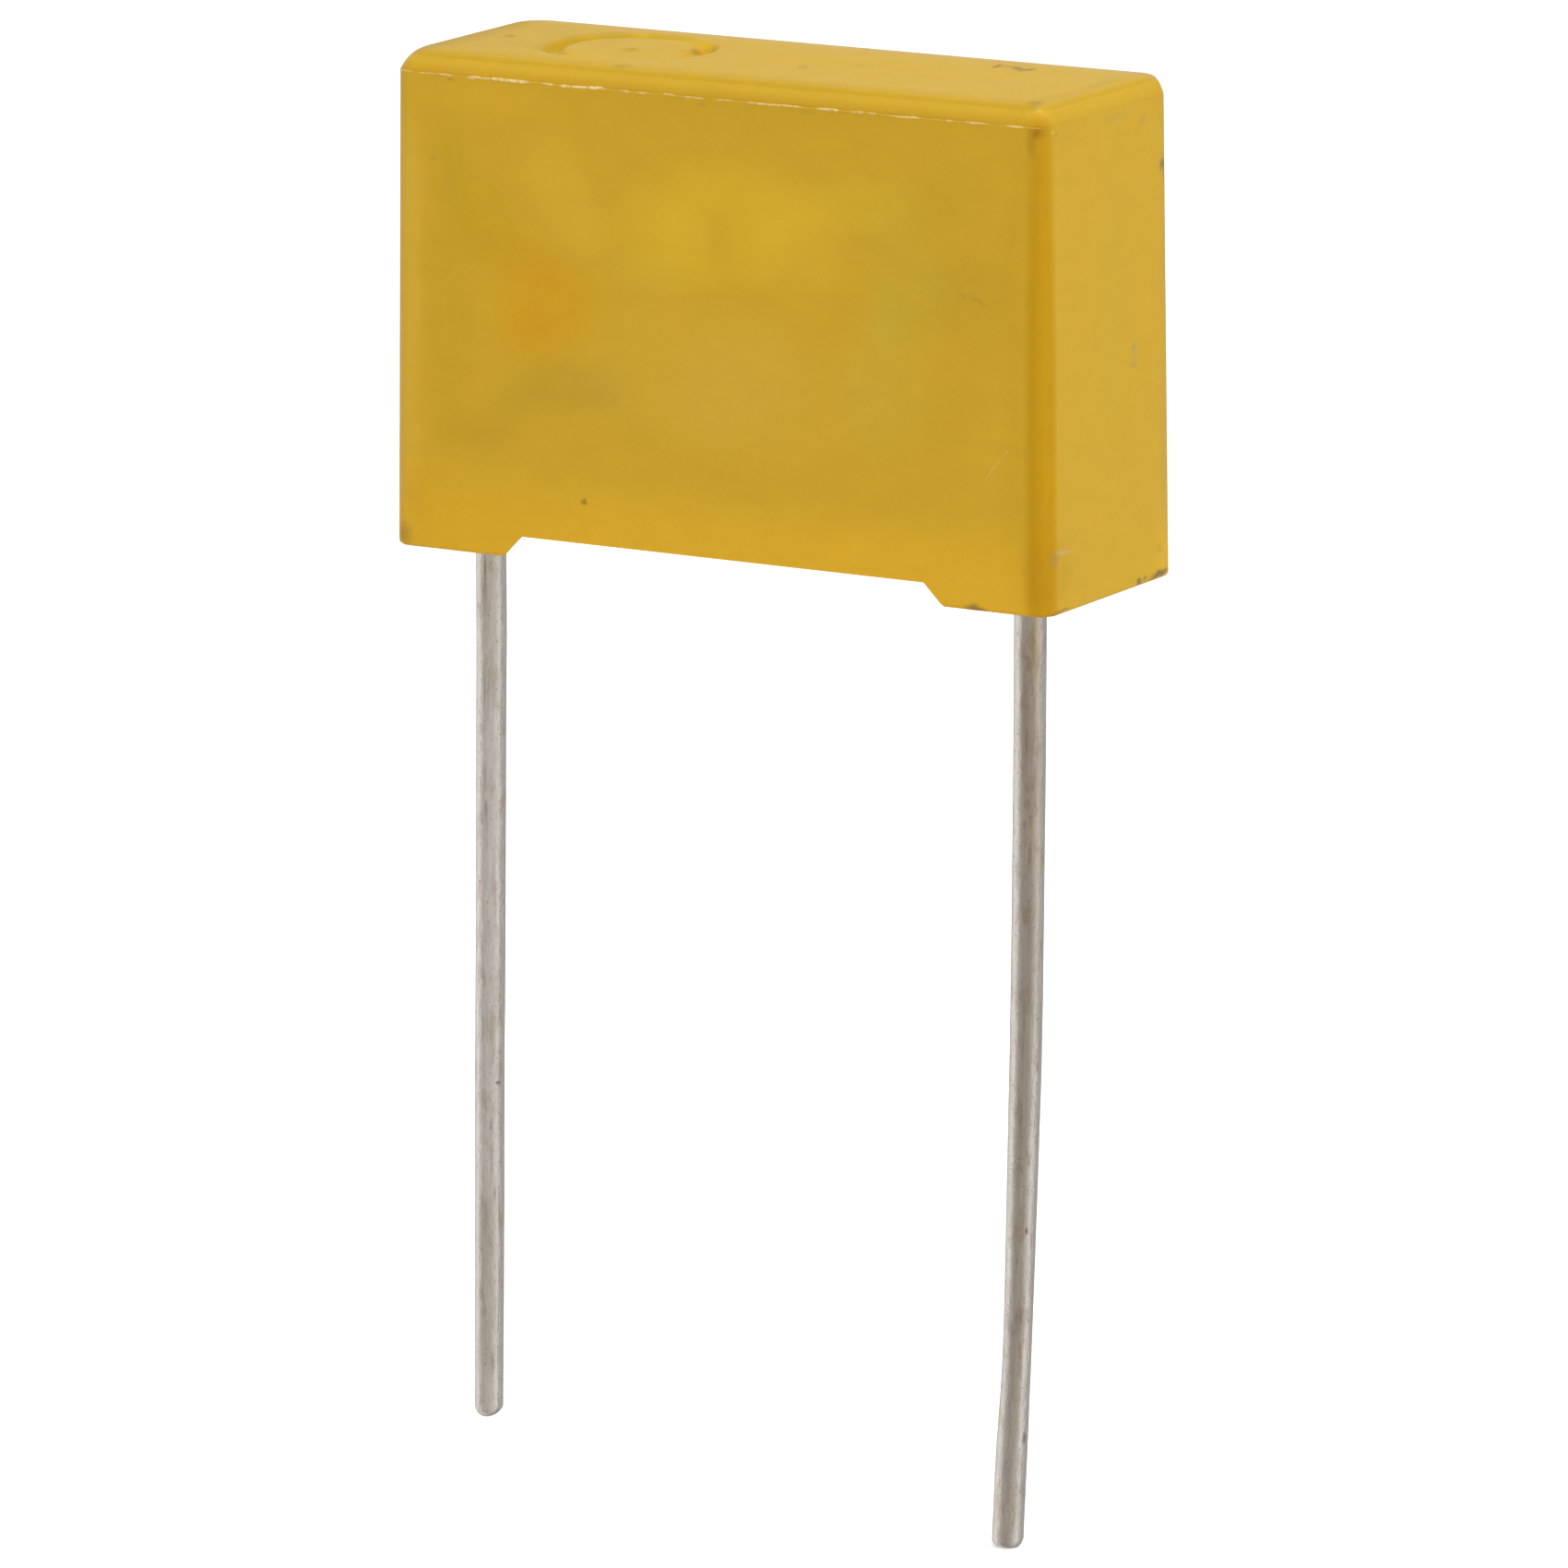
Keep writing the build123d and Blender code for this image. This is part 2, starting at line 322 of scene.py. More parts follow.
caseLook = {
    "yellow": (0.536, 0.312, 0.0103, 1),
    "roughness": 0.42,
    "specular": 0.22,
    "drift": 0.8,  # mm that soft patches wander
    "grain": 0.006,
    "rimReach": 1.2,  # how far in from the rim the lid still slopes
    "rimBend": 0.114,
    "lidStart": (11.97, 12.0),  # heights between which the tints of the lid begin
    "lidInset": (0.13, 0.07),  # how much the draft takes off each side by the lid
    "rimBlend": 0.3,
    "evenEnd": (0.5, 0.2, 0.3),  # the right end: where its painted crown bands fade, and the share left
    "cornerShadeTint": (0.835, 0.745, 0.02),  # deeper yellow down the four upright edges, painted shade for the light the rounded plastic scatters there; the edges are also duller
    "cornerPlace": (0.17, 0.05, 5.0),  # in from the end, in from the face, height
    "cornerSize": (0.62, 0.52, 16.0),
    "cornerShares": (0.95, 0.12),  # the front right edge, the others
    "cornerDull": 2.0,
    "markShadeTint": (0.97, 0.95, 0.08, 1),  # painted shade in the moulding mark's groove: its colour where the groove is deepest
    "markDull": 2.1,
    "patchDepth": 1.6,  # how far each patch and stain reaches into the plastic
    "stainDepth": 0.5,
    # soft tonal patches, most of them the plastic's own uneven tone, some painted bounce light and painted shade in the
    # mark's groove: face, place and size in mm, turn in degrees, tint, amount, sharpness of the middle
    "toneAndLightPatches": [
        # lighter along the bottom: partly painted bounce light from the floor, partly the resin-filled bottom's own
        # tone
        ("front", (0.0, -0.5), (30.0, 3.0), 0, (1.16, 1.11, 0.90), 1.0, 0.50),
        ("front", (-7.0, 0.8), (3.5, 1.6), 0, (0.97, 0.96, 0.75), 0.8, 0.20),
        ("front", (-4.6, 6.25), (2.0, 1.5), 12, (1.04, 0.935, 0.30), 1.0, 0.30),
        ("front", (-5.3, 5.4), (1.5, 1.0), -10, (1.02, 0.955, 0.60), 1.0, 0.20),
        ("front", (-5.4, 7.3), (1.9, 0.9), -20, (1.0, 0.955, 0.55), 1.0, 0.25),
        ("front", (-6.5, 8.1), (1.9, 1.3), -50, (0.955, 0.97, 0.60), 1.0, 0.30),
        ("front", (-7.4, 6.4), (1.0, 5.4), 0, (0.965, 0.97, 0.86), 1.0, 0.35),
        ("front", (-4.1, 4.3), (2.6, 0.95), 6, (0.91, 0.935, 1.22), 1.0, 0.30),
        ("front", (-5.9, 3.5), (1.8, 0.8), 30, (0.95, 0.955, 1.05), 1.0, 0.25),
        ("front", (-2.6, 3.6), (1.5, 0.8), -30, (0.975, 0.98, 1.12), 1.0, 0.25),
        ("front", (-6.8, 2.9), (1.6, 0.8), 0, (0.955, 0.955, 0.93), 1.0, 0.20),
        ("front", (-7.2, 9.5), (0.9, 1.2), 0, (0.955, 0.985, 1.0), 1.0, 0.20),
        ("front", (-4.2, 9.0), (2.3, 1.25), -50, (1.07, 1.08, 1.35), 1.0, 0.30),
        ("front", (0.2, 8.7), (3.4, 1.9), 8, (1.09, 1.115, 1.0), 1.0, 0.40),
        ("front", (-1.6, 8.1), (2.0, 1.6), 0, (1.02, 1.04, 1.1), 1.0, 0.30),
        ("front", (3.9, 9.4), (2.3, 0.9), 0, (1.03, 1.06, 1.12), 1.0, 0.30),
        ("front", (2.4, 8.3), (1.9, 1.9), 30, (1.045, 1.065, 1.22), 1.0, 0.25),
        ("front", (-2.0, 7.3), (1.5, 0.7), 0, (1.01, 1.03, 1.25), 1.0, 0.20),
        ("front", (0.15, 8.2), (0.55, 1.0), 0, (0.95, 0.93, 0.90), 1.0, 0.10),
        ("front", (-0.6, 5.0), (3.9, 2.3), 0, (1.02, 1.03, 1.45), 1.0, 0.55),
        ("front", (1.6, 4.6), (3.8, 2.2), 0, (1.015, 1.02, 1.35), 1.0, 0.50),
        ("front", (4.7, 5.2), (1.8, 2.6), 0, (0.985, 1.03, 1.45), 1.0, 0.35),
        ("front", (5.3, 8.0), (1.5, 2.4), 20, (0.945, 1.02, 1.35), 1.0, 0.30),
        ("front", (4.6, 6.8), (0.8, 1.6), 10, (0.97, 1.03, 1.25), 1.0, 0.20),
        ("front", (7.0, 7.5), (1.7, 1.7), 0, (0.935, 0.935, 1.02), 1.0, 0.20),
        ("front", (6.3, 9.8), (1.5, 1.3), 0, (0.95, 0.965, 0.98), 0.9, 0.20),
        ("front", (6.4, 4.6), (0.9, 1.8), 0, (0.965, 0.96, 1.0), 0.9, 0.20),
        ("front", (7.5, 3.7), (1.0, 1.7), 0, (1.02, 1.01, 1.10), 0.9, 0.20),
        ("front", (8.3, 6.0), (0.7, 9.0), 0, (0.975, 0.965, 0.80), 1.0, 0.30),
        ("front", (-9.1, 6.4), (1.2, 9.0), 0, (1.10, 1.13, 2.7), 1.0, 0.35),
        ("front", (-8.6, 0.7), (0.9, 1.4), 0, (0.92, 0.93, 1.0), 1.0, 0.25),
        ("front", (8.8, 0.9), (0.6, 1.5), 0, (0.92, 0.89, 0.6), 1.0, 0.30),
        ("front", (-6.6, 11.3), (3.0, 0.9), 0, (1.04, 1.03, 1.1), 0.9, 0.20),
        ("front", (1.5, 11.5), (6.5, 0.9), 0, (0.975, 0.975, 0.95), 1.0, 0.20),
        # lighter along the bottom of the back: partly painted bounce light from the floor, as on the front
        ("back", (0.0, -0.5), (30.0, 3.0), 0, (1.13, 1.10, 0.95), 1.0, 0.50),
        ("back", (4.6, 6.6), (2.6, 1.9), 15, (1.04, 0.96, 0.4), 1.0, 0.25),
        ("back", (1.2, 8.4), (4.6, 1.9), -8, (1.08, 1.10, 1.2), 1.0, 0.35),
        ("back", (-1.0, 4.8), (5.0, 2.6), 5, (1.03, 1.05, 1.6), 1.0, 0.40),
        ("back", (-5.6, 7.2), (1.9, 3.4), 10, (0.96, 1.03, 1.5), 1.0, 0.25),
        ("back", (5.2, 3.8), (2.4, 1.2), -16, (0.92, 0.94, 1.2), 1.0, 0.25),
        ("right", (0.5, 5.6), (5.0, 9.0), 0, (1.03, 1.05, 1.12), 1.0, 0.70),
        ("right", (0.1, 6.8), (1.0, 4.8), 0, (0.97, 1.0, 1.03), 1.0, 0.30),
        ("right", (0.8, 0.0), (2.8, 2.0), 0, (1.02, 1.02, 0.98), 1.0, 0.20),
        ("right", (2.75, 5.4), (0.60, 9.0), 0, (0.95, 0.97, 2.6), 1.0, 0.30),
        ("right", (-2.7, 0.6), (0.9, 1.7), 0, (0.88, 0.92, 0.97), 1.0, 0.25),
        ("right", (0.0, 12.0), (8.0, 0.45), 0, (1.0, 1.0, 1.25), 1.0, 0.30),
        ("left", (0.4, 5.5), (1.4, 4.0), 0, (0.97, 0.99, 1.1), 1.0, 0.30),
        ("left", (0.0, 0.0), (6.0, 2.2), 0, (1.05, 1.035, 0.98), 1.0, 0.20),
        ("top", (-8.0, 0.0), (3.6, 3.6), 0, (0.945, 0.955, 1.02), 1.0, 0.30),
        ("top", (2.7, 0.15), (4.5, 1.5), 0, (1.0, 1.0, 0.02), 1.0, 0.45),
        # painted shade in the moulding mark's groove, at its left end, far side and just inside (this line and the next
        # four)
        ("top", (-5.95, -0.3), (0.60, 1.6), 0, (0.88, 0.86, 0.05), 1.0, 0.40),
        ("top", (-5.95, 0.9), (0.55, 0.70), 0, (0.88, 0.90, 0.20), 1.0, 0.30),
        ("top", (-5.40, 1.55), (0.80, 0.65), 0, (0.80, 0.81, 0.30), 1.0, 0.30),
        ("top", (-4.3, 2.08), (0.90, 0.30), 0, (0.88, 0.88, 0.50), 1.0, 0.30),
        ("top", (-4.9, 0.8), (0.60, 1.2), 0, (0.96, 0.96, 0.45), 1.0, 0.30),
        ("top", (-3.6, -0.3), (1.1, 1.7), 0, (0.985, 0.985, 0.40), 1.0, 0.30),
        # painted shade in the groove's right end
        ("top", (-2.5, 0.6), (0.55, 1.4), 0, (0.93, 0.87, 0.05), 1.0, 0.40),
    ],
    # small marks and dirt, and two painted highlights at the front right corner of the crown: face, place and size in
    # mm, turn, colour, amount, sharpness
    "stainsAndHighlights": [
        ("front", (-3.64, 1.58), (0.13, 0.11), 0, (0.19, 0.12, 0.02), 0.75, 0.10),
        ("front", (-8.80, 0.30), (0.40, 0.42), 0, (0.25, 0.15, 0.02), 0.50, 0.10),
        ("front", (7.10, 0.03), (0.42, 0.20), 0, (0.13, 0.085, 0.03), 0.70, 0.20),
        ("front", (7.15, 7.42), (0.42, 0.10), -24, (0.30, 0.18, 0.03), 0.28, 0.10),
        ("front", (6.75, 7.50), (0.20, 0.07), -30, (0.30, 0.18, 0.03), 0.28, 0.10),
        ("front", (7.60, 3.45), (0.50, 0.05), 52, (0.70, 0.56, 0.28), 0.16, 0.10),
        ("front", (7.95, 3.85), (0.20, 0.04), 62, (0.70, 0.56, 0.28), 0.16, 0.10),
        ("front", (-7.85, 9.55), (0.14, 0.14), 0, (0.28, 0.20, 0.06), 0.30, 0.10),
        ("front", (-7.40, 9.10), (0.10, 0.16), 20, (0.30, 0.22, 0.06), 0.20, 0.10),
        ("front", (8.70, 11.48), (0.28, 0.24), 30, (0.29, 0.125, 0.002), 0.80, 0.10),
        ("front", (8.55, 11.20), (0.20, 0.45), 10, (0.32, 0.18, 0.006), 0.50, 0.10),
        ("front", (-7.35, 11.50), (0.16, 0.06), 0, (0.24, 0.16, 0.03), 0.40, 0.15),
        ("front", (-0.35, 11.47), (0.30, 0.07), 0, (0.30, 0.20, 0.04), 0.30, 0.15),
        ("front", (2.60, 11.50), (0.35, 0.06), 0, (0.30, 0.20, 0.04), 0.25, 0.15),
        ("right", (-2.52, 11.42), (0.14, 0.10), 30, (0.26, 0.19, 0.05), 0.40, 0.15),
        # painted highlight on the crown's front right corner
        ("right", (-2.68, 11.48), (0.09, 0.07), 0, (0.80, 0.66, 0.34), 0.26, 0.15),
        ("right", (-2.35, 1.48), (0.55, 0.10), -8, (0.60, 0.52, 0.42), 0.20, 0.10),
        ("right", (-2.74, 1.36), (0.24, 0.22), 0, (0.24, 0.20, 0.10), 0.34, 0.10),
        ("right", (1.14, 5.62), (0.26, 0.36), 0, (0.36, 0.29, 0.14), 0.22, 0.10),
        ("right", (1.12, 5.82), (0.12, 0.14), 0, (0.24, 0.20, 0.10), 0.38, 0.15),
        ("right", (1.10, 5.38), (0.22, 0.12), 10, (0.26, 0.21, 0.10), 0.34, 0.15),
        ("right", (0.30, 11.42), (1.10, 0.16), 4, (0.36, 0.28, 0.10), 0.22, 0.10),
        ("right", (1.62, 11.15), (0.32, 0.22), 20, (0.28, 0.21, 0.07), 0.26, 0.10),
        ("right", (2.60, 9.98), (0.26, 0.24), 0, (0.13, 0.10, 0.05), 0.70, 0.10),
        ("right", (2.80, 9.75), (0.22, 0.60), 0, (0.12, 0.10, 0.06), 0.75, 0.10),
        ("right", (2.30, 0.14), (0.70, 0.13), 4, (0.11, 0.09, 0.05), 0.80, 0.15),
        ("right", (1.30, 0.13), (0.20, 0.13), 0, (0.13, 0.10, 0.05), 0.75, 0.15),
        ("right", (1.58, 0.16), (0.13, 0.10), 0, (0.13, 0.10, 0.05), 0.65, 0.15),
        ("right", (2.30, 0.78), (0.24, 0.20), 0, (0.32, 0.20, 0.05), 0.26, 0.10),
        ("right", (-2.45, 0.10), (0.60, 0.06), 0, (0.16, 0.11, 0.03), 0.45, 0.20),
        ("top", (-7.61, 0.15), (0.20, 0.30), 24, (0.26, 0.18, 0.0), 0.60, 0.15),
        ("top", (4.92, 1.85), (0.14, 0.40), 12, (0.16, 0.115, 0.0), 0.65, 0.20),
        ("top", (5.22, 1.95), (0.30, 0.16), 10, (0.20, 0.14, 0.0), 0.50, 0.20),
        ("top", (5.52, 1.78), (0.18, 0.36), 35, (0.15, 0.11, 0.0), 0.65, 0.20),
        ("top", (5.80, 1.70), (0.18, 0.42), -20, (0.15, 0.11, 0.0), 0.65, 0.20),
        ("top", (0.89, 2.72), (0.16, 0.20), 0, (0.20, 0.14, 0.0), 0.60, 0.20),
        ("top", (0.95, -0.50), (0.20, 0.50), 30, (0.46, 0.25, 0.0), 0.80, 0.15),
        ("top", (2.05, 0.35), (0.14, 0.30), 30, (0.44, 0.30, 0.0), 0.35, 0.15),
        ("top", (3.20, -0.35), (0.12, 0.26), 30, (0.42, 0.27, 0.0), 0.40, 0.15),
        ("top", (-2.90, -2.50), (0.34, 0.34), 30, (0.34, 0.22, 0.0), 0.55, 0.10),
        ("top", (8.35, -2.45), (0.30, 0.50), 14, (0.27, 0.17, 0.01), 0.55, 0.15),
        ("top", (8.30, 0.80), (0.22, 1.20), 0, (0.34, 0.26, 0.06), 0.34, 0.10),
        # painted highlight on the crown's front right corner
        ("top", (8.62, -2.72), (0.09, 0.09), 0, (0.80, 0.66, 0.34), 0.15, 0.15),
        ("top", (-5.73, -1.20), (0.24, 0.36), 40, (0.30, 0.17, 0.0), 0.75, 0.15),
        ("top", (-5.22, -1.42), (0.22, 0.34), 40, (0.32, 0.20, 0.0), 0.60, 0.15),
        ("top", (-2.60, 0.50), (0.20, 0.50), 30, (0.32, 0.19, 0.0), 0.75, 0.15),
        ("top", (-2.28, 0.80), (0.18, 0.44), 30, (0.34, 0.19, 0.0), 0.65, 0.15),
        ("top", (-4.00, -0.25), (0.26, 0.48), 25, (0.36, 0.23, 0.0), 0.75, 0.15),
        ("back", (-6.90, 2.20), (0.24, 0.12), 25, (0.30, 0.20, 0.05), 0.40, 0.20),
        ("back", (3.10, 9.60), (0.12, 0.10), 0, (0.22, 0.15, 0.04), 0.55, 0.20),
        ("back", (6.30, 0.05), (0.45, 0.18), 0, (0.16, 0.11, 0.04), 0.65, 0.20),
        ("left", (1.90, 3.30), (0.36, 0.10), 40, (0.62, 0.52, 0.30), 0.28, 0.20),
        ("left", (-1.60, 0.08), (0.60, 0.14), 0, (0.16, 0.12, 0.05), 0.60, 0.20),
    ],
    # painted shade and sheen in bands by height: mm above the seat and colour, read from the walls up over the crown to
    # the lid
    "crownShadeAndSheenTints": [
        (11.60, (1.0, 1.0, 1.0)), (11.64, (0.95, 0.93, 0.85)), (11.70, (1.0, 0.975, 1.0)), (11.78, (1.03, 1.02, 1.02)),
        (11.86, (1.065, 1.095, 1.4)), (11.93, (1.045, 1.08, 1.35)), (12.00, (1.01, 1.045, 1.0)),
        (12.05, (1.035, 1.07, 0.82)), (12.085, (1.05, 1.10, 0.95)), (12.10, (1.035, 1.09, 1.0)),
    ],
    # painted shade, less sheen near the rim: tint by the way in from the rim of the lid, in mm
    "rimShadeTints": [
        (0.0, (0.95, 0.95, 0.85)), (0.25, (0.90, 0.885, 0.70)), (0.55, (0.91, 0.895, 0.75)), (0.80, (0.96, 0.95, 0.95)),
        (1.10, (1.0, 1.0, 1.0)),
    ],
    # painted sheen, a paler haze near the back edge: tint by the way in from the back edge of the lid, in mm
    "farSheenTints": [
        (0.0, (0.93, 1.0, 9.0)), (0.35, (0.95, 1.03, 8.5)), (0.75, (0.99, 1.01, 3.0)), (1.10, (1.0, 1.0, 1.0)),
    ],
}


def casePosition(tree):
    place = addNode(tree, "ShaderNodeTexCoord")
    inputs = {"Vector": place.outputs["Object"], "Scale": (1 / mm,) * 3,
              "Location": (-caseMiddle.x / mm, -caseMiddle.y / mm, 0)}
    return addNode(tree, "ShaderNodeMapping", inputs).outputs["Vector"]


def addWander(tree, position, scale, amount):
    spread = addVector(tree, "SUBTRACT", addNoise(tree, position, scale).outputs["Color"], (0.5, 0.5, 0.5))
    return addVector(tree, "ADD", position, addScaled(tree, spread, amount))


def addTintRamp(tree, colour, value, stops):
    first, last = stops[0][0], stops[-1][0]
    inputs = {"Fac": addMath(tree, "MULTIPLY_ADD", value, 1 / (last - first), -first / (last - first))}
    ramp = addNode(tree, "ShaderNodeValToRGB", inputs)
    while len(ramp.color_ramp.elements) < len(stops):
        ramp.color_ramp.elements.new(0.5)
    for stop, (at, tint) in zip(ramp.color_ramp.elements, stops):
        stop.position = (at - first) / (last - first)
        stop.color = (*tint, 1)
    return addTint(tree, 1.0, colour, ramp.outputs["Color"])


def makeCasePlastic(look):
    material, tree, surface = newMaterial("casePlastic")
    position = casePosition(tree)
    wandering = addWander(tree, position, 0.6, look["drift"])
    # tonal patches, among them painted bounce light and painted shade in the mark's groove
    colour = addPatches(tree, softPatch, look["yellow"], wandering, look["toneAndLightPatches"], look["patchDepth"])
    rough = addNoise(tree, position, 0.9, 3.0).outputs["Fac"]
    level = addGrey(tree, addRange(tree, rough, 0.3, 0.7, look["roughness"] - 0.03, look["roughness"] + 0.03))
    inX, inY, middle = look["cornerPlace"]
    dull = (look["cornerDull"],) * 3
    # painted shade down the four upright edges, with more roughness there
    for cornerX in (-1, 1):
        for cornerY in (-1, 1):
            place = (cornerX * (halfWidth - inX), cornerY * (halfDepth - inY), middle), look["cornerSize"]
            share = look["cornerShares"][0 if cornerX > 0 > cornerY else 1]
            colour = addPatch(tree, softPatch, colour, position, *place, look["cornerShadeTint"], share, 0.45)
            level = addPatch(tree, softPatch, level, position, *place, dull, share, 0.45)
    parts = addNode(tree, "ShaderNodeSeparateXYZ", {"Vector": position}).outputs
    # painted shade and sheen in bands over the crown, faded out at the right end
    crownShading = addTintRamp(tree, colour, parts["Z"], look["crownShadeAndSheenTints"])
    start, stop, left = look["evenEnd"]
    atEnd = addRange(tree, parts["X"], halfWidth - start, halfWidth - stop, 1.0, left)
    colour = addTint(tree, atEnd, colour, crownShading, "MIX")
    lidHalfWidth, lidHalfDepth = halfWidth - look["lidInset"][0], halfDepth - look["lidInset"][1]
    side = addMath(tree, "SUBTRACT", lidHalfWidth, addMath(tree, "ABSOLUTE", parts["X"]))
    near = addMath(tree, "ADD", lidHalfDepth, parts["Y"])
    far = addMath(tree, "SUBTRACT", lidHalfDepth, parts["Y"])
    inset = addMath(tree, "SMOOTH_MIN", side, near, look["rimBlend"])
    onLid = addRange(tree, parts["Z"], *look["lidStart"])
    # painted shade near the lid's front rim and ends
    shaded = addTintRamp(tree, colour, inset, look["rimShadeTints"])
    # painted sheen near the lid's back edge
    shaded = addTintRamp(tree, shaded, far, look["farSheenTints"])
    # painted shade in the moulding mark's groove
    mark = addNode(tree, "ShaderNodeAttribute", attribute_name="mark").outputs["Fac"]
    shaded = addTint(tree, mark, shaded, look["markShadeTint"])
    colour = addTint(tree, onLid, colour, shaded, "MIX")
    mottle = addNoise(tree, addVector(tree, "MULTIPLY", position, (0.7, 0.7, 1.6)), 1.3, 4.0, 0.6)
    colour = addTint(tree, 1.0, colour, addGrey(tree, addRange(tree, mottle.outputs["Fac"], 0.3, 0.7, 0.985, 1.015)))
    ragged = addWander(tree, position, 5.0, 0.16)
    # stains and dirt, with two painted highlights among them
    colour = addPatches(tree, softStainAndGlint, colour, ragged, look["stainsAndHighlights"], look["stainDepth"])
    level = addTint(tree, mark, level, (*(look["markDull"],) * 3, 1))
    fine = addNoise(tree, position, 14.0, 3.0)
    broad = addNoise(tree, position, 0.8, 1.0)
    grain = addMath(tree, "MULTIPLY_ADD", broad.outputs["Fac"], 3.0, fine.outputs["Fac"])
    rim = addMath(tree, "MAXIMUM", addMath(tree, "SUBTRACT", look["rimReach"], inset), 0.0)
    fall = addMath(tree, "MULTIPLY", addMath(tree, "MULTIPLY", rim, rim), -look["rimBend"])
    height = addMath(tree, "MULTIPLY_ADD", grain, look["grain"], fall)
    inputs = {"Base Color": colour, "Roughness": level, "Specular IOR Level": look["specular"],
              "Normal": addBump(tree, height, 1.0, 1.0)}
    fillInputs(tree, surface, inputs)
    return material


casePlastic = makeCasePlastic(caseLook)
print("case plastic ready")


# case moulding

casePlan = {
    "ledge": 11.62,  # height where the walls end and the crown begins
    "cornerRadius": 0.47,
    "crownCorner": 0.66,
    "nearCorner": 0.95,  # the front left one
    "farCorner": (0.36, 0.84),  # the back right one: radius, share of the inset
    "crownCurve": [(0.0, 0.0), (0.07, 0.25), (0.16, 0.44), (0.33, 0.468)],  # inset and rise
    "crownSteps": 12,
    "cornerBlend": 0.3,  # inset by which the wall's corner has become the crown's
    "shoulder": 0.30,  # width of the soft slope inside the crown
    "shoulderDrop": 0.012,
    "unevenness": 0.002,
    "markCentre": (-4.15, 0.0),
    "markRadii": (1.50, 2.16),
    "markDepth": 0.11,
    "markSteepness": 1.5,
    # how much of the ring is left by direction, in degrees from the right end towards the back
    "markWear": [(-180, 1.0), (-152, 1.0), (-126, 0.25), (-60, 0.08), (-25, 0.12), (0, 0.5), (14, 1.0), (38, 1.0),
                 (60, 0.40), (85, 0.55), (110, 0.85), (140, 1.0), (180, 1.0)],
    "gateCentre": (-4.0, -0.22),
    "gateRadius": 0.20,
    "gateDepth": 0.07,
    "notchTuck": 0.22,  # how far the notches' inner ends are moved outwards, and where those ends are
    "notchSpan": (5.3, 6.4),
    "notchHeight": 0.56,
    "notchWall": (0.55, 0.75),
    # points on the lid: grid, and step, count and points of the circles, with the groove's first radius
    "lidGrid": (58, 20),
    "gateCircles": (0.055, 4, 16),
    "innerCircles": ((0.6, 0.95, 1.25), 48),
    "grooveCircles": (1.42, 0.05, 17, 96),
    "lidGaps": (0.05, 0.16),  # mm kept clear inside the crown and round the groove
}


def copyMerged(node):
    bm = bmesh.new()
    bm.from_mesh(nodes[node].data)
    bmesh.ops.remove_doubles(bm, verts=bm.verts, dist=0.0005 * mm)
    bmesh.ops.dissolve_limit(bm, angle_limit=math.radians(0.4), verts=bm.verts, edges=bm.edges)
    return bm


def finishPiece(name, bm, material, replaced=(), smoothAngle=35, even=False):
    mesh = bpy.data.meshes.new(name)
    for face in bm.faces:
        face.smooth = True
    for edge in bm.edges:
        edge.smooth = len(edge.link_faces) != 2 or edge.calc_face_angle(0) < math.radians(smoothAngle)
    bm.to_mesh(mesh)
    bm.free()
    mesh.materials.append(material)
    piece = bpy.data.objects.new(name, mesh)
    scene.collection.objects.link(piece)
    if even:
        modifier = piece.modifiers.new("evenNormals", "WEIGHTED_NORMAL")
        modifier.keep_sharp = True
    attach(piece, "root")
    if replaced:
        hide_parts(*replaced)
    return piece


def fromMiddle(point):
    return Vector(((point.x - caseMiddle.x) / mm, (point.y - caseMiddle.y) / mm))


def caseSpot(x, y, z):
    return Vector((caseMiddle.x + x * mm, caseMiddle.y + y * mm, z * mm))


def ringEdges(bm, ring):
    return [bm.edges.get(pair) for pair in zip(ring, ring[1:] + ring[:1])]


# Extrudes a closed ring of vertices once and moves the new ring into place.
def growRing(bm, ring, places):
    made = bmesh.ops.extrude_edge_only(bm, edges=ringEdges(bm, ring))["geom"]
    fresh = {v for v in made if isinstance(v, bmesh.types.BMVert)}
    grown = [next(e.other_vert(v) for e in v.link_edges if e.other_vert(v) in fresh) for v in ring]
    for vert, place in zip(grown, places):
        vert.co = place
    return grown


def growTube(bm, sections):
    rings = [bmesh.ops.create_circle(bm, segments=len(sections[0]), radius=mm)["verts"]]
    for vert, place in zip(rings[0], sections[0]):
        vert.co = place
    for places in sections[1:]:
        rings.append(growRing(bm, rings[-1], places))
    return rings


def bezier(points, t):
    (a, b, c, d), s = [Vector(p) for p in points], 1 - t
    return a * s**3 + b * 3 * s * s * t + c * 3 * s * t * t + d * t**3


def edgeLoop(bm):
    following = {}
    for edge in bm.edges:
        if edge.is_boundary:
            a, b = edge.verts
            following.setdefault(a, []).append(b)
            following.setdefault(b, []).append(a)
    start = next(iter(following))
    loop, before = [start], None
    while True:
        here = loop[-1]
        after = next(v for v in following[here] if v is not before)
        if after is start:
            return loop
        before = here
        loop.append(after)


def insetPoint(point, half, plan, share, inset):
    radius = plan["cornerRadius"]
    core = Vector((max(min(point.x, half.x - radius), radius - half.x),
                   max(min(point.y, half.y - radius), radius - half.y)))
    out = (point - core).normalized()
    farRadius, farShare = plan["farCorner"]
    wide = farRadius if core.x > 0 and core.y > 0 else plan["crownCorner"]
    if core.x < 0 and core.y < 0:
        wide = plan["nearCorner"]
    corner = radius * (1 - share) + wide * share
    insetX, insetY = (inset * farShare if v > 0 else inset for v in core)
    reach = half - Vector((insetX + corner, insetY + corner))
    return Vector((math.copysign(reach.x, core.x), math.copysign(reach.y, core.y))) + out * corner


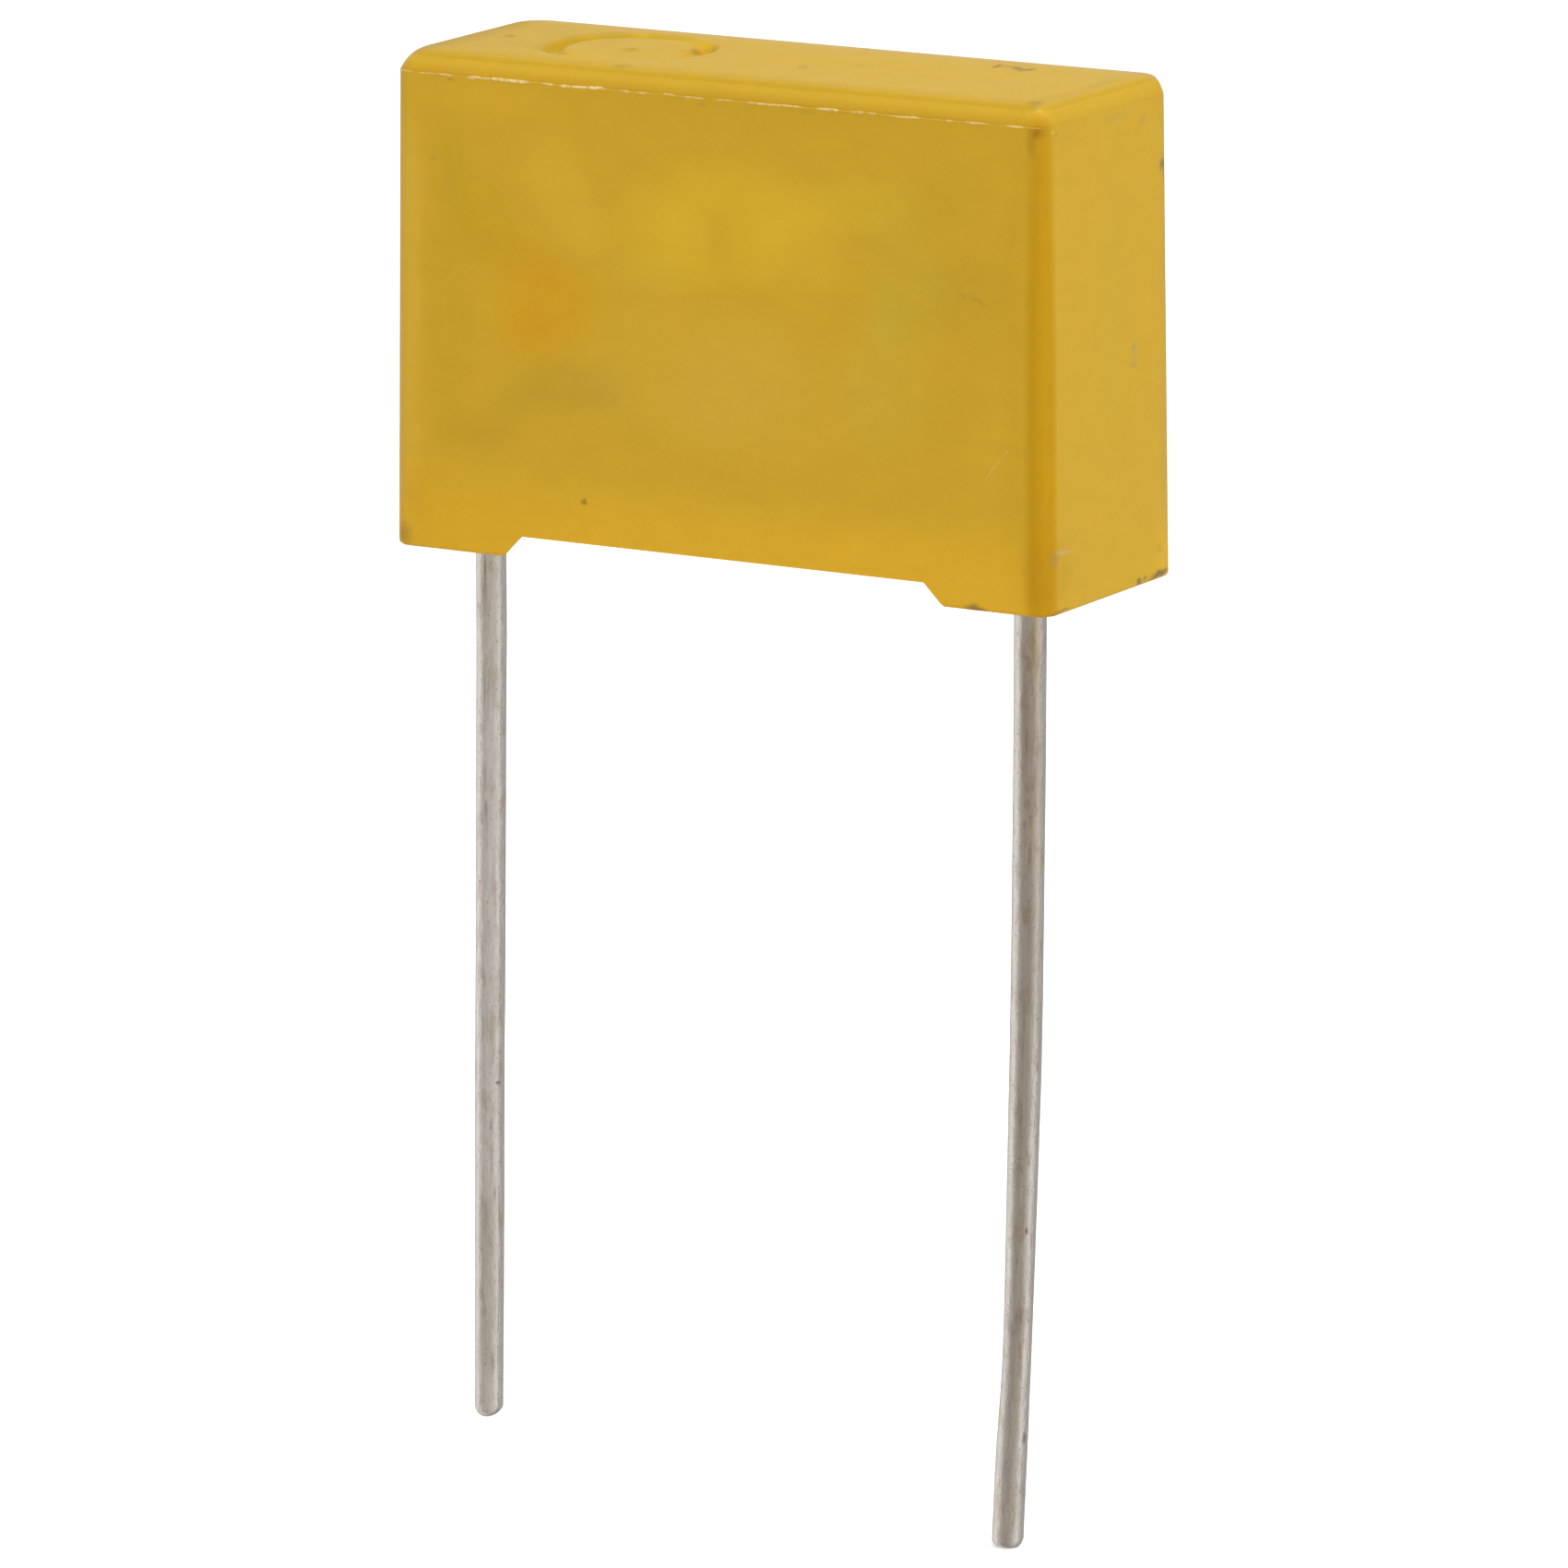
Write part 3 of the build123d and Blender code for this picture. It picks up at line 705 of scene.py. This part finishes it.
def markAt(x, y, plan):
    centreX, centreY = plan["markCentre"]
    inner, outer = plan["markRadii"]
    across = 1 - abs(math.dist((x, y), plan["markCentre"]) - (inner + outer) / 2) / ((outer - inner) / 2)
    if across <= 0:
        return 0.0
    turn = math.degrees(math.atan2(y - centreY, x - centreX))
    wear = plan["markWear"]
    left = next((a + (b - a) * (turn - start) / (stop - start) for (start, a), (stop, b) in zip(wear, wear[1:])
                 if turn <= stop), 1.0)
    return left * math.sin(min(1.0, across * plan["markSteepness"]) * math.pi / 2) ** 2


def topHeight(x, y, half, plan):
    edge = min(half.x - abs(x), half.y - abs(y)) - plan["crownCurve"][-1][0]
    slope = max(0.0, 1 - max(edge, 0.0) / plan["shoulder"])
    height = -plan["shoulderDrop"] * slope * slope - plan["markDepth"] * markAt(x, y, plan)
    reach = math.dist((x, y), plan["gateCentre"])
    if reach < plan["gateRadius"]:
        height -= plan["gateDepth"] * math.cos(reach / plan["gateRadius"] * math.pi / 2) ** 2
    lump = noise.noise(Vector((x * 0.8, y * 0.8, 4.0)))
    return height - plan["unevenness"] * (1 + lump)


def insidePoints(half, plan):
    crownGap, grooveGap = plan["lidGaps"]
    inset = plan["crownCurve"][-1][0] + crownGap
    clear = plan["markRadii"][1] + grooveGap
    found = [plan["markCentre"], plan["gateCentre"]]
    step, number, count = plan["gateCircles"]
    circles = [(plan["gateCentre"], step * k, count) for k in range(1, number + 1)]
    radii, count = plan["innerCircles"]
    circles += [(plan["markCentre"], radius, count) for radius in radii]
    first, step, number, count = plan["grooveCircles"]
    circles += [(plan["markCentre"], first + step * k, count) for k in range(number)]
    for (x, y), radius, count in circles:
        for k in range(count):
            a = 2 * math.pi * k / count
            found.append((x + radius * math.cos(a), y + radius * math.sin(a)))
    countX, countY = plan["lidGrid"]
    for i in range(countX + 1):
        for j in range(countY + 1):
            x, y = (2 * i / countX - 1) * half.x, (2 * j / countY - 1) * half.y
            if math.dist((x, y), plan["markCentre"]) > clear:
                found.append((x, y))
    corner = plan["crownCorner"]
    kept = []
    for x, y in found:
        awayX, awayY = half.x - abs(x) - inset, half.y - abs(y) - inset
        nearCorner = math.hypot(max(corner - awayX, 0), max(corner - awayY, 0))
        if awayX > 0 and awayY > 0 and nearCorner < corner:
            kept.append(Vector((x, y)))
    return kept


def addCrown(bm, plan):
    marks = bm.verts.layers.float.new("mark")
    loop = edgeLoop(bm)
    flat = [fromMiddle(v.co) for v in loop]
    half = Vector((max(p.x for p in flat), max(p.y for p in flat)))
    ring = loop
    for k in range(1, plan["crownSteps"] + 1):
        inset, rise = bezier(plan["crownCurve"], k / plan["crownSteps"])
        share = min(1.0, inset / plan["cornerBlend"])
        spots = [insetPoint(point, half, plan, share, inset) for point in flat]
        ring = growRing(bm, ring, [caseSpot(spot.x, spot.y, plan["ledge"] + rise) for spot in spots])
    rim = [fromMiddle(v.co) for v in ring]
    points = rim + insidePoints(half, plan)
    borders = [(i, (i + 1) % len(rim)) for i in range(len(rim))]
    spots, _, faces, origins, *_ = geometry.delaunay_2d_cdt(points, borders, [], 1, 1e-6)
    made = []
    for spot, origin in zip(spots, origins):
        source = min(origin) if origin else len(rim)
        if source < len(rim):
            made.append(ring[source])
        else:
            made.append(bm.verts.new(caseSpot(spot.x, spot.y, caseTop + topHeight(spot.x, spot.y, half, plan))))
            made[-1][marks] = markAt(spot.x, spot.y, plan)
    for face in faces:
        bm.faces.new([made[i] for i in face])


def tuckNotch(bm, plan):
    (nearest, farthest), highest, wall = plan["notchSpan"], plan["notchHeight"], plan["notchWall"]
    for vert in bm.verts:
        x, y = fromMiddle(vert.co)
        onInside = halfDepth - wall[1] < abs(y) < halfDepth - wall[0]
        if vert.co.z < highest * mm and onInside and nearest < abs(x) < farthest:
            vert.co.x += math.copysign(plan["notchTuck"] * mm, x)


def makeCase(plan):
    bm = copyMerged("case")
    lid = (plan["ledge"] - 0.001) * mm
    bmesh.ops.delete(bm, geom=[f for f in bm.faces if all(v.co.z > lid for v in f.verts)], context="FACES")
    addCrown(bm, plan)
    tuckNotch(bm, plan)
    bmesh.ops.recalc_face_normals(bm, faces=bm.faces)
    return finishPiece("caseMoulding", bm, casePlastic, ["case"], even=True)


makeCase(casePlan)
print("case ready")


# parting flash

flashPlan = {
    "height": 11.60,
    "reach": 0.016,
    "wornReach": 0.018,
    "depth": 0.05,
    "wornDepth": 0.047,
    "tuck": 0.010,  # its middle lies this far inside the wall
    "pitch": 0.06,
    "sides": 8,
    "wornFade": 0.12,  # mm over which a rubbed stretch fades out
    "wornBack": 0.3,  # share of the rubbing on the back
    "waver": 0.02,  # mm up and down
    "colour": (0.56, 0.335, 0.025, 1),
    "rubbed": (0.80, 0.63, 0.29, 1),
    # pale rubbed stretches along the front: from, to, strength
    "worn": [
        (-8.96, -8.45, 0.45), (-8.25, -7.25, 0.30), (-6.85, -5.15, 0.9), (-4.78, -4.40, 0.50), (-4.28, -3.02, 0.82),
        (-2.56, -2.34, 0.60), (-2.20, -1.78, 0.40), (-1.42, -1.08, 0.60), (-0.82, -0.26, 0.35), (0.05, 0.50, 0.30),
        (0.90, 2.40, 0.50), (2.80, 3.40, 0.60), (3.74, 4.08, 0.50), (4.20, 4.40, 0.40), (4.80, 5.55, 0.50),
        (6.28, 6.48, 0.40), (6.82, 7.40, 0.50), (7.90, 8.40, 0.45),
    ],
}


def sectionExtent(node, height):
    mesh = nodes[node].data
    points = []
    for edge in mesh.edges:
        a, b = (mesh.vertices[i].co for i in edge.vertices)
        if (a.z - height) * (b.z - height) < 0:
            points.append(a.lerp(b, (height - a.z) / (b.z - a.z)))
    xs, ys = [p.x for p in points], [p.y for p in points]
    return Vector((min(xs), min(ys), height)), Vector((max(xs), max(ys), height))


def roundedLoop(low, high, radius, pitch):
    turns = []
    corners = [(high.x - radius, high.y - radius, 0), (low.x + radius, high.y - radius, 90),
               (low.x + radius, low.y + radius, 180), (high.x - radius, low.y + radius, 270)]
    steps = 8
    for x, y, begin in corners:
        for k in range(steps + 1):
            a = math.radians(begin + 90 * k / steps)
            out = Vector((math.cos(a), math.sin(a), 0))
            turns.append((Vector((x, y, low.z)) + out * radius, out))
    loop = []
    for i, (point, out) in enumerate(turns):
        after, outAfter = turns[(i + 1) % len(turns)]
        count = max(1, round((after - point).length / pitch))
        for k in range(count):
            loop.append((point.lerp(after, k / count), out.lerp(outAfter, k / count).normalized()))
    return loop


def makeFlashSurface(plan):
    material, tree, surface = newMaterial("wornFlash")
    worn = addNode(tree, "ShaderNodeAttribute", attribute_name="worn").outputs["Fac"]
    flecks = addNoise(tree, casePosition(tree), 9.0, 3.0, 0.65).outputs["Fac"]
    worn = addMath(tree, "MULTIPLY", worn, addRange(tree, flecks, 0.38, 0.60, 0.1, 1.0))
    colour = addTint(tree, worn, plan["colour"], plan["rubbed"], "MIX")
    fillInputs(tree, surface, {"Base Color": colour, "Roughness": 0.5, "Specular IOR Level": 0.3})
    return material


def wornAt(plan, x):
    found = 0.0
    for start, stop, level in plan["worn"]:
        fading = min(x - start, stop - x) / plan["wornFade"] + 0.3
        found = max(found, level * min(1.0, max(0.0, fading)))
    return found * (1 + 0.5 * noise.noise(Vector((x * 2.6, 7.0, 0.0))))


def makeFlash(plan, material):
    low, high = sectionExtent("case", (plan["height"] - 0.02) * mm)
    low.z = high.z = plan["height"] * mm
    loop = roundedLoop(low, high, casePlan["cornerRadius"] * mm, plan["pitch"] * mm)
    sections, levels = [], []
    for point, out in loop:
        grain = noise.fractal(point / mm * 1.6, 1.0, 2.0, 3)
        facing = max(0.0, abs(out.y)) ** 2
        worn = min(1.0, wornAt(plan, fromMiddle(point).x)) * facing * (1.0 if out.y < 0 else plan["wornBack"])
        swell = max(0.0, facing * (1 + 0.7 * grain))
        reach = plan["reach"] * swell + plan["wornReach"] * worn
        depth = plan["depth"] * min(1.0, 0.4 + 0.6 * swell) + plan["wornDepth"] * worn
        drop = plan["waver"] * noise.noise(Vector((point.x / mm * 1.1, 3.0, 0.0)))
        places = []
        for k in range(plan["sides"]):
            a = math.radians(360 / plan["sides"] * k)
            across = Vector((0, 0, math.sin(a) * depth / 2 + drop)) + out * (math.cos(a) * reach - plan["tuck"])
            places.append(point + across * mm)
        sections.append(places)
        levels.append(worn)
    bm = bmesh.new()
    marks = bm.verts.layers.float.new("worn")
    rings = growTube(bm, sections + sections[:1])
    for ring, worn in zip(rings, levels):
        for vert in ring:
            vert[marks] = worn
    bmesh.ops.weld_verts(bm, targetmap=dict(zip(rings[-1], rings[0])))
    bmesh.ops.recalc_face_normals(bm, faces=bm.faces)
    return finishPiece("partingFlash", bm, material, smoothAngle=80)


makeFlash(flashPlan, makeFlashSurface(flashPlan))
print("parting flash ready")


# resin

resinLook = {
    "colour": (0.47, 0.30, 0.055, 1),
    "shade": (0.80, 0.74, 0.55, 1),
    "roughness": 0.28,
}


def makeResinSurface(look):
    material, tree, surface = newMaterial("pottingResin")
    position = casePosition(tree)
    cloud = addNoise(tree, position, 0.5, 4.0, 0.6).outputs["Fac"]
    colour = addTint(tree, addRange(tree, cloud, 0.40, 0.68), look["colour"], look["shade"])
    specks = addNoise(tree, position, 5.0, 2.0).outputs["Fac"]
    colour = addTint(tree, addRange(tree, specks, 0.66, 0.74, 0.0, 0.6), colour, (0.5, 0.45, 0.4, 1))
    level = addRange(tree, cloud, 0.3, 0.7, look["roughness"], look["roughness"] + 0.14)
    waves = addNoise(tree, position, 0.7, 3.0).outputs["Fac"]
    fillInputs(tree, surface, {"Base Color": colour, "Roughness": level, "Normal": addBump(tree, waves, 0.5, 0.3)})
    return material


finishPiece("resinFill", copyMerged("epoxy_fill"), makeResinSurface(resinLook), ["epoxy_fill"])
print("resin ready")


# leads

wireLook = {
    "metal": (0.71, 0.657, 0.60, 1),
    "roughness": 0.13,
    "around": 48,
    "step": 0.3,  # mm between rings
    "tipSteps": 9,
    "waver": 0.008,  # share of the radius
}

wirePlans = {
    "lead_left": {
        "lean": [(9.0, 0.0), (0.0, 0.0), (-2.5, -0.008), (-4.5, -0.041), (-7.0, -0.065), (-10.0, -0.048),
                 (-14.0, -0.036), (-17.0, -0.010), (-22.5, 0.018)],  # height, sideways shift
        "width": [(9.0, 0.757), (0.0, 0.757), (-3.0, 0.750), (-8.0, 0.745), (-14.0, 0.735), (-18.0, 0.728),
                  (-22.5, 0.705)],
        "leftCorner": (0.20, 0.26, 0.2),  # inset, rise, straightness
        "rightCorner": (0.30, 0.27, 0.4),
        "slope": 0.0,
        "seed": 3.0,
        # darker and lighter places, partly tarnish, partly painted reflection bands, painted shade and a painted
        # highlight: turn round the wire, height, size, tint, amount
        "tarnishAndReflections": [
            # the first is a painted dark reflection band along the wire; the second is painted shade and reflection
            # from the case's underside
            (73, -10.0, (0.24, 30.0), (0.84, 0.84, 0.86), 1.0), (12, -1.2, (0.9, 3.0), (0.90, 0.87, 0.80), 1.0),
            (20, -19.0, (0.95, 4.5), (0.86, 0.83, 0.77), 1.0), (66, -13.6, (0.30, 0.07), (0.36, 0.32, 0.27), 0.9),
            (12, -6.7, (0.16, 0.35), (0.72, 0.66, 0.58), 0.8), (8, -0.8, (0.10, 0.9), (0.62, 0.55, 0.47), 0.8),
            (6, -3.6, (0.10, 0.9), (0.74, 0.68, 0.6), 0.7), (8, -5.9, (0.20, 0.5), (0.80, 0.75, 0.67), 0.7),
            (38, -14.7, (0.22, 0.4), (0.72, 0.66, 0.58), 0.7), (52, -16.4, (0.14, 0.3), (0.62, 0.56, 0.49), 0.6),
            (46, -20.7, (0.18, 0.35), (0.70, 0.63, 0.55), 0.6), (22, -22.9, (0.22, 0.16), (0.45, 0.42, 0.38), 0.7),
            # painted highlight on the rounding of the tip
            (-14, -22.75, (0.30, 0.24), (1.35, 1.36, 1.38), 0.8),
        ],
        "dull": [(40, -1.0, (0.9, 2.5), 0.08)],
    },
    "lead_right": {
        "lean": [(9.0, 0.0), (0.0, 0.0), (-3.0, -0.010), (-6.5, -0.040), (-9.5, -0.014), (-13.0, 0.006),
                 (-16.0, 0.020), (-19.0, 0.022), (-21.0, 0.0), (-23.5, 0.0)],
        "width": [(9.0, 0.785), (-9.5, 0.785), (-12.5, 0.775), (-15.5, 0.735), (-18.0, 0.705), (-19.3, 0.713),
                  (-21.2, 0.768), (-23.5, 0.765)],
        "leftCorner": (0.07, 0.10, 0.2),
        "rightCorner": (0.135, 0.22, 0.5),
        "slope": 0.058,
        "seed": 11.0,
        "tarnishAndReflections": [
            # the second on this line is a painted dark reflection band
            (24, -12.0, (0.72, 30.0), (0.67, 0.615, 0.56), 1.0), (54, -4.0, (0.75, 12.0), (0.80, 0.77, 0.72), 1.0),
            # the second on this line is a painted yellow reflection of the case
            (8, -2.6, (0.42, 3.2), (0.86, 0.80, 0.74), 1.0), (44, -0.6, (0.55, 2.4), (1.08, 1.02, 0.84), 1.0),
            (50, -15.4, (0.16, 0.14), (0.36, 0.31, 0.26), 0.9), (78, -20.6, (0.25, 0.24), (0.40, 0.35, 0.3), 0.8),
            (18, -3.4, (0.12, 0.5), (0.65, 0.6, 0.5), 0.6), (30, -17.6, (0.4, 0.7), (0.80, 0.76, 0.72), 0.8),
            (34, -6.2, (0.20, 0.5), (0.78, 0.70, 0.6), 0.6), (20, -10.6, (0.16, 2.0), (0.80, 0.76, 0.72), 0.6),
            (18, -12.6, (0.16, 0.9), (0.78, 0.74, 0.68), 0.6),
        ],
        "dull": [(58, -3.0, (0.9, 10.0), 0.20)],
    },
}


def readTable(table, height):
    for i in range(len(table) - 1):
        (z1, v1), (z2, v2) = table[i], table[i + 1]
        if height >= z2 or i == len(table) - 2:
            before, after = table[max(i - 1, 0)], table[min(i + 2, len(table) - 1)]
            slope1 = (v2 - before[1]) / (z2 - before[0])
            slope2 = (after[1] - v1) / (after[0] - z1)
            t = min(max((height - z1) / (z2 - z1), 0.0), 1.0)
            bend = (z2 - z1) * (slope1 * (t**3 - 2 * t**2 + t) + slope2 * (t**3 - t**2))
            return v1 * (2 * t**3 - 3 * t**2 + 1) + v2 * (3 * t**2 - 2 * t**3) + bend


def makeDrawnWireGroup():
    inputs = [("Wire", "vector"), ("Metal", "colour"), ("Roughness", "value")]
    outputs = [("Colour", "colour"), ("Roughness", "value"), ("Height", "value")]
    group, given, result = newGroup("drawnWire", inputs, outputs)

    def wireNoise(stretch, *settings):
        return addNoise(group, addVector(group, "MULTIPLY", given["Wire"], stretch), *settings).outputs["Fac"]

    stains = wireNoise((0.9, 0.9, 0.8), 1.2, 5.0, 0.68)
    lines = wireNoise((1.0, 1.0, 0.4), 2.6, 5.0, 0.72)
    pits = wireNoise((1.0, 1.0, 2.2), 4.5, 2.0, 0.6)
    drawn = wireNoise((1.0, 1.0, 0.2), 7.0, 3.0, 0.6)
    dents = wireNoise((1.0, 1.0, 1.3), 1.7, 5.0, 0.62)
    colour = addTint(group, addRange(group, stains, 0.50, 0.66, 0.0, 0.8), given["Metal"], (0.80, 0.735, 0.64, 1))
    colour = addTint(group, addRange(group, stains, 0.47, 0.34, 0.0, 0.6), colour, (0.95, 0.96, 0.90, 1))
    colour = addTint(group, 1.0, colour, addGrey(group, addRange(group, lines, 0.35, 0.65, 0.92, 1.06)))
    pit = addRange(group, pits, 0.63, 0.71, 0.0, 0.55)
    colour = addTint(group, pit, colour, (0.58, 0.52, 0.45, 1))
    level = addMath(group, "ADD", given["Roughness"], addRange(group, lines, 0.3, 0.7, -0.03, 0.10))
    height = addMath(group, "MULTIPLY_ADD", dents, 3.2, drawn)
    height = addMath(group, "SUBTRACT", height, addMath(group, "MULTIPLY", pit, 0.8))
    for socket, value in (("Colour", colour), ("Roughness", level), ("Height", height)):
        group.links.new(value, result[socket])
    return group


drawnWire = makeDrawnWireGroup()


def makeWireSurface(name, look, plan):
    material, tree, surface = newMaterial(name)
    wire = addNode(tree, "ShaderNodeAttribute", attribute_name="wire").outputs["Vector"]
    inputs = {"Wire": wire, "Metal": look["metal"], "Roughness": look["roughness"]}
    drawn = addNode(tree, "ShaderNodeGroup", inputs, node_tree=drawnWire).outputs

    def placeAt(turn, height):
        return math.sin(math.radians(turn)), -math.cos(math.radians(turn)), height + plan["seed"] * 10

    colour, level = drawn["Colour"], drawn["Roughness"]
    # tarnish, with painted reflection bands, painted shade by the case and a painted highlight among the patches
    for turn, height, (wide, high), tint, amount in plan["tarnishAndReflections"]:
        colour = addPatch(tree, softPatch, colour, wire, placeAt(turn, height), (wide, wide, high), tint, amount, 0.2)
    for turn, height, (wide, high), extra in plan["dull"]:
        away = addVector(tree, "SUBTRACT", wire, placeAt(turn, height))
        reach = addVector(tree, "LENGTH", addVector(tree, "MULTIPLY", away, (1 / wide, 1 / wide, 1 / high)))
        level = addMath(tree, "ADD", level, addRange(tree, reach, 1.0, 0.2, 0.0, extra))
    inputs = {"Base Color": colour, "Metallic": 1.0, "Roughness": level,
              "Normal": addBump(tree, drawn["Height"], 0.5, 0.02)}
    fillInputs(tree, surface, inputs)
    return material


def makeWire(name, node, plan, look, material):
    low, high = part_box(node)
    top, bottom = high.z / mm, low.z / mm
    turn = math.radians(cameraPlan["turn"])
    sideways = Vector((math.cos(turn), math.sin(turn), 0))
    angles = [2 * math.pi * k / look["around"] for k in range(look["around"])]
    around = [Vector((math.cos(a), math.sin(a), 0)) for a in angles]
    count = round((top - bottom) / look["step"])
    centres = []
    for k in range(count + 1):
        z = top - (top - bottom) * k / count
        a, b = sectionExtent(node, min(max(z, bottom + 0.3), top - 0.05) * mm)
        shift = readTable(plan["lean"], z) * mm
        centres.append(Vector(((a.x + b.x) / 2 + shift, (a.y + b.y) / 2, z * mm)))
    sections, heights = [], []

    def addSection(centre, reach, lift):
        sections.append([centre + out * reach(out) + Vector((0, 0, lift(out))) for out in around])
        heights.append(centre.z / mm + plan["seed"] * 10)

    tipRise = (max(plan["leftCorner"][1], plan["rightCorner"][1]) + plan["slope"] + 0.05) * mm
    for centre in centres:
        if centre.z > low.z + tipRise:
            radius = readTable(plan["width"], centre.z / mm) / 2 * mm
            place = centre / mm * 0.9 + Vector((0, 0, plan["seed"]))
            waver = look["waver"]
            addSection(centre, lambda out: radius * (1 - waver * (1 + noise.noise(place + out * 0.6))), lambda out: 0.0)
    radius = readTable(plan["width"], bottom) / 2 * mm

    def cornerAt(out, t):
        share = 0.5 + 0.5 * out.dot(sideways)
        inset, rise, straight = (p + (q - p) * share for p, q in zip(plan["leftCorner"], plan["rightCorner"]))
        inward = (1 - straight) * (1 - math.cos(t * math.pi / 2)) + straight * t
        upward = (1 - straight) * (1 - math.sin(t * math.pi / 2)) + straight * (1 - t)
        return radius - inset * inward * mm, (upward * rise + plan["slope"] * (1 - share)) * mm

    for k in range(look["tipSteps"] + 1):
        t = k / look["tipSteps"]
        addSection(centres[-1], lambda out: cornerAt(out, t)[0], lambda out: cornerAt(out, t)[1])
    bm = bmesh.new()
    marks = bm.verts.layers.float_vector.new("wire")
    rings = growTube(bm, sections)
    for ring, height in zip(rings, heights):
        for vert, out in zip(ring, around):
            vert[marks] = (out.x, out.y, height)
    for ring, height in ((rings[0], heights[0]), (rings[-1], heights[-1])):
        cap = bmesh.ops.contextual_create(bm, geom=ringEdges(bm, ring))["faces"]
        for core in bmesh.ops.poke(bm, faces=cap, center_mode="MEAN")["verts"]:
            core[marks] = (0, 0, height)
    bmesh.ops.recalc_face_normals(bm, faces=bm.faces)
    return finishPiece(name, bm, material, [node], smoothAngle=50)


for name, node in (("leftLead", "lead_left"), ("rightLead", "lead_right")):
    plan = wirePlans[node]
    makeWire(name, node, plan, wireLook, makeWireSurface(name + "Metal", wireLook, plan))
print("leads ready")


# film winding and end sprays

insideLooks = {
    # node: colour, tint of the streaks, stretch of the streaks, metallic, roughness
    "film_winding": ((0.62, 0.62, 0.60, 1), (0.80, 0.82, 0.86, 1), (0.15, 6.0, 6.0), 0.2, 0.25),
    "end_spray_left": ((0.50, 0.50, 0.49, 1), (0.72, 0.71, 0.69, 1), (5.0, 5.0, 5.0), 0.9, 0.6),
    "end_spray_right": ((0.50, 0.50, 0.49, 1), (0.72, 0.71, 0.69, 1), (5.0, 5.0, 5.0), 0.9, 0.6),
}


def dressInside(node, base, tint, stretch, metallic, roughness):
    material, tree, surface = newMaterial(node + "Look")
    grain = addNoise(tree, addVector(tree, "MULTIPLY", casePosition(tree), stretch), 1.0, 3.0).outputs["Fac"]
    inputs = {"Base Color": addTint(tree, addRange(tree, grain, 0.4, 0.6), base, tint), "Metallic": metallic,
              "Roughness": roughness, "Normal": addBump(tree, grain, 0.5, 0.05)}
    fillInputs(tree, surface, inputs)
    nodes[node].data.materials.clear()
    nodes[node].data.materials.append(material)


for node, look in insideLooks.items():
    dressInside(node, *look)
print("inside ready")
